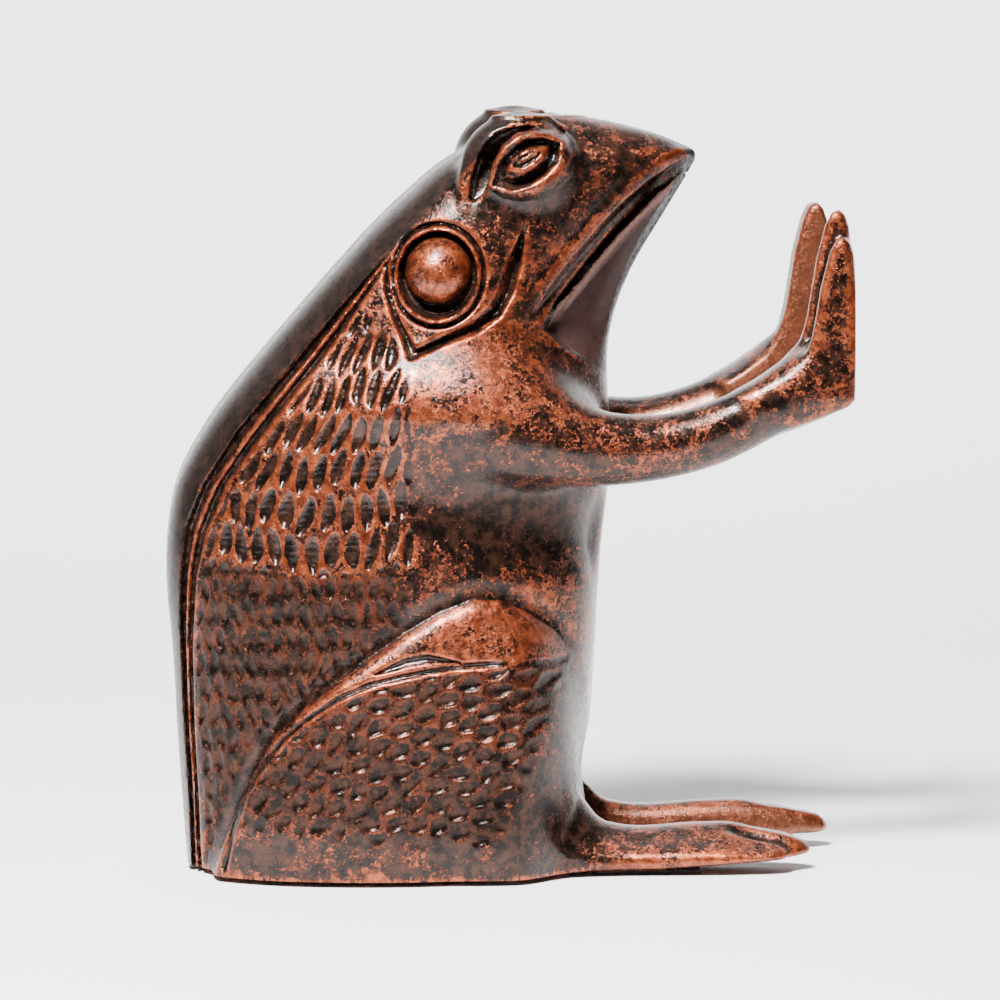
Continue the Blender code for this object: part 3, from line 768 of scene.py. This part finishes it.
def casting(side, material):
    """One half of the figure as an object, with what its patina needs."""
    points, quads, on_skin = sculpt(side)
    world = points.copy()
    world[:, 0] += FORWARD - SWEEP * points[:, 1]
    world[:, 2] += RISE * points[:, 1]
    world *= MM
    world[:, 1] *= side
    faces = quads[:, ::-1] if side == RIGHT else quads
    mesh = bpy.data.meshes.new(f"{SIDES[side]}_half")
    mesh.vertices.add(len(world))
    mesh.vertices.foreach_set("co", world.astype(np.float32).ravel())
    mesh.loops.add(faces.size)
    mesh.loops.foreach_set("vertex_index", np.ascontiguousarray(faces, dtype=np.int32).ravel())
    mesh.polygons.add(len(faces))
    mesh.polygons.foreach_set("loop_start", np.arange(0, faces.size, 4, dtype=np.int32))
    mesh.update(calc_edges=True)
    mesh.validate()
    mesh.shade_smooth()
    mesh.set_sharp_from_angle(angle=math.radians(62.0))

    count = len(mesh.vertices)
    edges = np.empty(len(mesh.edges) * 2, dtype=np.int32)
    mesh.edges.foreach_get("vertices", edges)
    edges = edges.reshape(-1, 2)
    normals = np.empty(count * 3, dtype=np.float32)
    mesh.vertices.foreach_get("normal", normals)
    normals = normals.reshape(-1, 3)
    for name, rounds in (("fine", 4), ("broad", 40)):
        smoothed = smooth_values(world, edges, count, rounds)
        proud = ((world - smoothed) * normals).sum(axis=1) / MM
        store(mesh, name, np.where(on_skin, proud, 0.0))
    finish = {}
    relief(points[:, 0], points[:, 2], finish)
    for name, values in finish.items():
        store(mesh, name, values)
    store(mesh, "inner", ramp(0.55, 0.85, -normals[:, 1] * side) * ramp(5.0, 8.0, points[:, 1]))
    ahead = ramp(-4.5, -1.0, points[:, 0] - spline(FRONT, 1, points[:, 2]))
    width = 1.5 + 5.0 * ramp(52.0, 34.0, points[:, 2])
    store(mesh, "filed", ahead * ramp(width + 0.8, width, points[:, 1]) * ramp(8.0, 18.0, points[:, 2]))
    made = bpy.data.objects.new(f"{SIDES[side]}_half", mesh)
    bpy.context.scene.collection.objects.link(made)
    mesh.materials.append(material)
    return made


# Materials


class Nodes:
    """A short way to wire a material's nodes."""

    def __init__(self, name):
        self.material = bpy.data.materials.new(name)
        self.material.use_nodes = True
        self.tree = self.material.node_tree
        self.shader = self.tree.nodes["Principled BSDF"]

    def node(self, kind, inputs=(), **settings):
        made = self.tree.nodes.new(kind)
        for key, value in settings.items():
            setattr(made, key, value)
        for key, value in dict(inputs).items():
            self.put(made.inputs[key], value)
        return made

    def put(self, socket, value):
        if isinstance(value, bpy.types.NodeSocket):
            self.tree.links.new(value, socket)
        else:
            socket.default_value = value

    def math(self, operation, a, b=0.0, clamp=False):
        made = self.node("ShaderNodeMath", operation=operation, use_clamp=clamp)
        self.put(made.inputs[0], a)
        self.put(made.inputs[1], b)
        return made.outputs[0]

    def ramp(self, value, low, high, to_low=0.0, to_high=1.0):
        made = self.node("ShaderNodeMapRange", interpolation_type="SMOOTHSTEP")
        for key, item in (
            ("Value", value), ("From Min", low), ("From Max", high),
            ("To Min", to_low), ("To Max", to_high),
        ):
            self.put(made.inputs[key], item)
        return made.outputs["Result"]

    def mix(self, share, a, b):
        made = self.node("ShaderNodeMix", data_type="RGBA")
        self.put(made.inputs["Factor"], share)
        self.put(made.inputs[6], a)
        self.put(made.inputs[7], b)
        return made.outputs[2]

    def noise(self, vector, scale, detail=3.0, roughness=0.5, distortion=0.0):
        made = self.node("ShaderNodeTexNoise")
        for key, item in (
            ("Vector", vector), ("Scale", scale), ("Detail", detail),
            ("Roughness", roughness), ("Distortion", distortion),
        ):
            self.put(made.inputs[key], item)
        return made.outputs["Fac"]

    def attribute(self, name):
        return self.node("ShaderNodeAttribute", attribute_name=name).outputs["Fac"]

    def place(self):
        return self.node("ShaderNodeTexCoord").outputs["Object"]


def iron_material(name):
    """Dark patina rubbed through to copper red, waxed, and filed bare along the joint, with painted shade on
    the chest, the arm's underside, the front of the base and the back, and a painted highlight on the lower
    lip.
    """
    n = Nodes(name)
    place = n.place()
    fine, broad, chip = n.attribute("fine"), n.attribute("broad"), n.attribute("chip")
    scales, thigh, crisp = n.attribute("scales"), n.attribute("thigh"), n.attribute("crisp")
    throat, spine, wear_and_shade = n.attribute("throat"), n.attribute("spine"), n.attribute("copper")
    # The throat's less glossy finish and the back's smooth band; on the back the copper taken away below is
    # partly painted shade.
    satin_and_spine_shade = n.math("MAXIMUM", throat, spine)
    plain = n.math("SUBTRACT", 1.0, satin_and_spine_shade, clamp=True)

    # Where copper shows: on high places, and in flecks
    speck = n.noise(place, 1400.0, 5.0, 0.75, 0.8)
    patch = n.noise(place, 260.0, 3.0, 0.6, 0.4)
    share = n.math("ADD", n.math("MULTIPLY", speck, 0.62), n.math("MULTIPLY", patch, 0.38))
    # The wear table adds copper where the patina is rubbed, and takes it away on the chest, the arm's underside
    # and the front of the base as painted shade.
    share = n.math("ADD", share, n.math("MULTIPLY", wear_and_shade, 0.34))
    share = n.math("ADD", share, n.ramp(fine, -0.06, 0.06, -0.07, 0.07))
    share = n.math("ADD", share, n.ramp(broad, -0.6, 0.6, -0.05, 0.05))
    share = n.math("SUBTRACT", share, n.math("MULTIPLY", n.math("MULTIPLY", chip, crisp), 0.10))
    share = n.math("SUBTRACT", share, n.math("MULTIPLY", satin_and_spine_shade, 0.5))
    dull = n.math("MULTIPLY", scales, n.math("SUBTRACT", 1.0, crisp, clamp=True))
    share = n.math("ADD", share, n.math("MULTIPLY", n.math("MULTIPLY", dull, chip), 0.065))
    share = n.math("SUBTRACT", share, n.math("MULTIPLY", dull, 0.035))
    copper = n.ramp(share, 0.530, 0.585)

    dark = n.mix(n.ramp(n.noise(place, 420.0, 3.0, 0.6), 0.40, 0.62), BLACK, BROWN)
    dark = n.mix(n.math("MULTIPLY", throat, 0.9), dark, THROAT_BROWN)
    # Grey brown on the back's band: partly its own smooth patina, partly painted shade where the back turns
    # away from the light.
    dark = n.mix(n.math("MULTIPLY", spine, 0.6), dark, SPINE_BROWN_AND_SHADE)
    red = n.mix(n.ramp(n.noise(place, 500.0, 3.0, 0.6, 0.5), 0.35, 0.65), DEEP_RED, COPPER_RED)
    red = n.mix(n.math("MULTIPLY", dull, 0.8), red, DULL_RED)
    colour = n.mix(copper, dark, red)
    inside = n.mix(n.ramp(speck, 0.42, 0.62), INNER_RED, INNER_BROWN)
    colour = n.mix(n.math("MULTIPLY", n.attribute("inner"), 0.8), colour, inside)
    # The lower lip ridge is paled halfway: a painted highlight.
    colour = n.mix(n.math("MULTIPLY", n.attribute("lip"), 0.5), colour, LIP_PAINTED_HIGHLIGHT)

    # Greenish-white deposits in some hollows of the leg
    deposit = n.math("MULTIPLY", n.ramp(n.noise(place, 70.0, 2.0, 0.5), 0.66, 0.72), n.ramp(speck, 0.5, 0.6))
    deposit = n.math("MULTIPLY", deposit, n.math("MULTIPLY", thigh, scales))
    colour = n.mix(n.math("MULTIPLY", deposit, 0.6), colour, DEPOSIT_GREEN)

    # Filed iron
    stretch = n.node("ShaderNodeMapping", {"Vector": place, "Scale": (1.0, 1.0, 0.06)}).outputs[0]
    brushed = n.noise(stretch, 2600.0, 3.0, 0.6)
    bare = n.mix(n.ramp(brushed, 0.35, 0.65), FILED_DARK, FILED_BRIGHT)
    filed = n.math("MULTIPLY", n.attribute("filed"), n.ramp(n.noise(place, 260.0, 3.0, 0.6), 0.30, 0.44))
    colour = n.mix(filed, colour, bare)
    n.put(n.shader.inputs["Base Color"], colour)

    metal = n.math("ADD", 0.62, n.math("MULTIPLY", copper, 0.16))
    metal = n.math("SUBTRACT", metal, n.math("MULTIPLY", throat, 0.30))
    n.put(n.shader.inputs["Metallic"], n.math("ADD", metal, n.math("MULTIPLY", filed, 0.4), clamp=True))
    rough = n.math("ADD", 0.22, n.math("MULTIPLY", copper, 0.07))
    rough = n.math("ADD", rough, n.math("MULTIPLY", satin_and_spine_shade, 0.05))
    rough = n.math("ADD", rough, n.ramp(n.noise(place, 700.0, 2.0), 0.3, 0.7, -0.06, 0.10))
    n.put(n.shader.inputs["Roughness"], rough)

    # Wax: thick on the polished places, thin on the lower scales, the back and the throat
    shade = n.ramp(wear_and_shade, -0.10, -0.25, 0.0, 0.30)
    polish = n.ramp(wear_and_shade, 0.08, 0.24, 0.36, 0.90)
    matt = n.math("MAXIMUM", satin_and_spine_shade, n.math("MULTIPLY", dull, 0.85))
    coat = n.math("SUBTRACT", polish, n.math("MULTIPLY", matt, 0.30))
    n.put(n.shader.inputs["Coat Weight"], n.math("SUBTRACT", coat, shade, clamp=True))
    n.put(n.shader.inputs["Specular IOR Level"], n.math("SUBTRACT", 0.22, n.math("MULTIPLY", matt, 0.10)))
    n.shader.inputs["Coat Roughness"].default_value = 0.11

    # Casting skin, pits and the chatter of the gouge
    grain = n.noise(place, 2300.0, 4.0, 0.65)
    pits = n.ramp(n.noise(place, 1150.0, 3.0, 0.6, 0.4), 0.30, 0.44, -1.0, 0.0)
    height_z = n.node("ShaderNodeSeparateXYZ", {"Vector": place}).outputs["Z"]
    wander = n.math("MULTIPLY", n.noise(place, 320.0, 2.0), 5.0)
    chatter = n.math("SINE", n.math("ADD", n.math("MULTIPLY", height_z, 2.0 * math.pi / CHATTER_PITCH), wander))
    chatter = n.math("MULTIPLY", chatter, n.math("MULTIPLY", n.math("MULTIPLY", chip, crisp), 0.22))
    skin = n.math("ADD", n.math("MULTIPLY", grain, 0.9), n.math("MULTIPLY", pits, 0.55))
    skin = n.math("MULTIPLY", skin, n.math("ADD", 0.25, n.math("MULTIPLY", plain, 0.75)))
    skin = n.math("ADD", skin, n.math("MULTIPLY", copper, -0.25))
    skin = n.math("ADD", skin, chatter)
    bump = n.node("ShaderNodeBump", {"Strength": 0.6, "Distance": 0.00012, "Height": skin}).outputs[0]
    n.put(n.shader.inputs["Normal"], bump)
    wax = n.node("ShaderNodeBump", {"Strength": 0.3, "Distance": 0.00012, "Height": skin}).outputs[0]
    n.put(n.shader.inputs["Coat Normal"], wax)
    return n.material


def steel_material(name, centre, bright, oxide):
    """Turned steel with fine rings round an axis along y, and darker where it has oxidised."""
    n = Nodes(name)
    place = n.place()
    where = n.node("ShaderNodeSeparateXYZ", {"Vector": place}).outputs
    across = n.math("SUBTRACT", where["X"], centre[0])
    up = n.math("SUBTRACT", where["Z"], centre[2])
    radius = n.math("SQRT", n.math("ADD", n.math("MULTIPLY", across, across), n.math("MULTIPLY", up, up)))
    rings = n.math("SINE", n.math("MULTIPLY", radius, 2.0 * math.pi / TURNING_PITCH))
    spots = n.noise(place, 900.0, 4.0, 0.6, 0.4)
    n.put(n.shader.inputs["Base Color"], n.mix(n.ramp(spots, 0.44, 0.62), bright, oxide))
    n.shader.inputs["Metallic"].default_value = 0.95
    n.put(n.shader.inputs["Roughness"], n.ramp(spots, 0.35, 0.65, 0.26, 0.52))
    height = n.math("ADD", n.math("MULTIPLY", rings, 0.5), n.noise(place, 2600.0, 3.0))
    bump = n.node("ShaderNodeBump", {"Strength": 0.5, "Distance": 0.00004, "Height": height}).outputs[0]
    n.put(n.shader.inputs["Normal"], bump)
    return n.material


def felt_material(name):
    """Black pressed wool, matted and faintly dusty."""
    n = Nodes(name)
    place = n.place()
    fibres = n.noise(place, 2400.0, 5.0, 0.75, 2.5)
    clumps = n.noise(place, 380.0, 3.0, 0.6, 1.0)
    shade = n.math("ADD", n.math("MULTIPLY", fibres, 0.65), n.math("MULTIPLY", clumps, 0.35))
    n.put(
        n.shader.inputs["Base Color"],
        n.mix(n.ramp(shade, 0.36, 0.66), (0.008, 0.008, 0.009, 1.0), (0.048, 0.045, 0.043, 1.0)),
    )
    n.shader.inputs["Roughness"].default_value = 0.95
    n.shader.inputs["Specular IOR Level"].default_value = 0.2
    n.shader.inputs["Sheen Weight"].default_value = 0.35
    bump = n.node("ShaderNodeBump", {"Strength": 0.8, "Distance": 0.00012, "Height": shade}).outputs[0]
    n.put(n.shader.inputs["Normal"], bump)
    return n.material


# Felt


def felt_pad(node, material):
    """A pad on the CAD pad's outline, with its cut edges softened."""
    form = bmesh.new()
    form.from_mesh(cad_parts[node].data)
    bmesh.ops.remove_doubles(form, verts=form.verts, dist=0.00001)
    bmesh.ops.dissolve_limit(form, angle_limit=math.radians(1.0), verts=form.verts, edges=form.edges)
    rim = [edge for edge in form.edges if edge.is_manifold and edge.calc_face_angle() > math.radians(60.0)]
    bmesh.ops.bevel(
        form, geom=rim, offset=FELT_ROUNDING, segments=3, profile=0.5, affect="EDGES", clamp_overlap=True
    )
    bmesh.ops.triangulate(form, faces=form.faces)
    mesh = bpy.data.meshes.new(f"{node}_soft")
    form.to_mesh(mesh)
    form.free()
    mesh.shade_smooth()
    mesh.set_sharp_from_angle(angle=math.radians(50.0))
    mesh.materials.append(material)
    made = bpy.data.objects.new(f"{node}_soft", mesh)
    bpy.context.scene.collection.objects.link(made)
    return made


# Build

for side, name in SIDES.items():
    half = casting(side, iron_material(f"{name}_iron"))
    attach(half, "root")
    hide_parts(f"{name}_half_casting")

felt = felt_material("felt")
for node in ("body_felt_pad", "right_foot_felt_pad", "left_foot_felt_pad"):
    pad = felt_pad(node, felt)
    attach(pad, "root")
    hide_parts(node)

blackened = ((0.10, 0.098, 0.095, 1.0), (0.028, 0.024, 0.022, 1.0))
ground = ((0.46, 0.45, 0.44, 1.0), (0.20, 0.17, 0.15, 1.0))
for node, (bright, oxide) in {
    "upper_tie_screw": blackened, "lower_tie_screw": blackened,
    "upper_locating_pin": ground, "lower_locating_pin": ground,
}.items():
    low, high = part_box(node)
    centre = [(a + b) / 2.0 for a, b in zip(low, high)]
    steel = steel_material(f"{node}_steel", centre, bright, oxide)
    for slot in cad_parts[node].material_slots:
        slot.material = steel


# Floor, light and camera

PAPER_FRONT, PAPER_WIDTH, PAPER_TOP = -0.26, 4.0, 3.0
SWEEP_START, SWEEP_RADIUS, SWEEP_STEPS = 0.45, 0.45, 24
paper_line = [(PAPER_FRONT, 0.0), (SWEEP_START, 0.0)]
for step in range(1, SWEEP_STEPS + 1):
    bend = math.radians(90.0 * step / SWEEP_STEPS)
    along = SWEEP_START + SWEEP_RADIUS * math.sin(bend)
    paper_line.append((along, SWEEP_RADIUS * (1.0 - math.cos(bend))))
paper_line.append((SWEEP_START + SWEEP_RADIUS, PAPER_TOP))
floor_mesh = bpy.data.meshes.new("floor")
corners = [(x, y, z) for y, z in paper_line for x in (-PAPER_WIDTH / 2.0, PAPER_WIDTH / 2.0)]
strips = [(2 * i, 2 * i + 1, 2 * i + 3, 2 * i + 2) for i in range(len(paper_line) - 1)]
floor_mesh.from_pydata(corners, [], strips)
floor_mesh.shade_smooth()
floor = bpy.data.objects.new("floor", floor_mesh)
bpy.context.scene.collection.objects.link(floor)
paper = Nodes("paper")
paper.shader.inputs["Base Color"].default_value = (0.80, 0.80, 0.80, 1.0)
paper.shader.inputs["Roughness"].default_value = 0.9
floor_mesh.materials.append(paper.material)

world = bpy.data.worlds.new("world")
bpy.context.scene.world = world
world.use_nodes = True
background = world.node_tree.nodes["Background"]
background.inputs["Color"].default_value = (0.75, 0.76, 0.78, 1.0)
background.inputs["Strength"].default_value = 0.03


def area_light(name, place, target, size, power, spread=math.pi):
    """A rectangular light turned to face its target."""
    light = bpy.data.lights.new(name, "AREA")
    light.shape = "RECTANGLE"
    light.size, light.size_y = size
    light.energy = power
    light.spread = spread
    made = bpy.data.objects.new(name, light)
    made.location = place
    made.rotation_euler = (Vector(target) - Vector(place)).to_track_quat("-Z", "Y").to_euler()
    bpy.context.scene.collection.objects.link(made)


area_light("key", (-0.16, -0.34, 0.62), (0.0, 0.0, 0.08), (0.16, 0.16), 29.0)
area_light("backdrop", (0.0, 0.50, 1.4), (0.0, 0.88, 0.25), (1.8, 0.4), 19.0, math.radians(80.0))

camera_data = bpy.data.cameras.new("camera")
camera = bpy.data.objects.new("camera", camera_data)
bpy.context.scene.collection.objects.link(camera)
azimuth, elevation = math.radians(-3.0), math.radians(6.5)
distance, view_width, sensor = 1.2, 0.200803, 36.0
aim = Vector((-0.0011, 0.0, 0.0732))
back = Vector((
    math.sin(azimuth) * math.cos(elevation),
    -math.cos(azimuth) * math.cos(elevation),
    math.sin(elevation),
))
camera.location = aim + back * distance
camera.rotation_euler = (-back).to_track_quat("-Z", "Y").to_euler()
camera_data.sensor_width = sensor
camera_data.lens = sensor * distance / view_width
camera_data.clip_start = 0.05
bpy.context.scene.camera = camera
